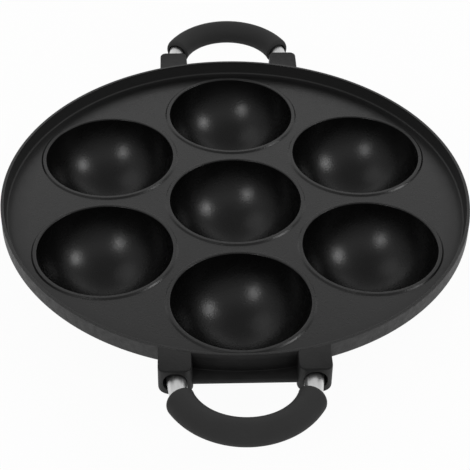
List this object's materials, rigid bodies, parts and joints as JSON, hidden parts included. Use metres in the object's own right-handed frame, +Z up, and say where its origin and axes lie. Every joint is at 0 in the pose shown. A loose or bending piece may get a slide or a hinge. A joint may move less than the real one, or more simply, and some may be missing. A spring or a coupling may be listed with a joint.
{
  "type": "multi-cup cake pan",
  "caption": "Round cast baking pan with deep hemispherical cups set in a rimmed plate, and a bent steel loop handle in a black grip at each end.",
  "frame": {"origin": "centre of the pan at the level of the cups' flat feet", "axes": "+Z up through the pan's centre, +Y along the line of the two handles towards the rear one, +X to the right seen from the front handle"},
  "size_m": [0.3, 0.4188, 0.0497],
  "materials": {
    "coating": "dark grey non-stick coating, satin with a fine grain, on an aluminium casting",
    "rod_steel": "polished round steel bar",
    "grip": "matt black heat-resistant sleeve",
    "screw_steel": "blackened steel"
  },
  "bodies": {
    "root": {"pan_body": "coating", "front_handle_rod": "rod_steel", "front_grip": "grip", "rear_handle_rod": "rod_steel", "rear_grip": "grip", "front_left_set_screw": "screw_steel", "front_right_set_screw": "screw_steel", "rear_left_set_screw": "screw_steel", "rear_right_set_screw": "screw_steel"}
  },
  "joints": []
}
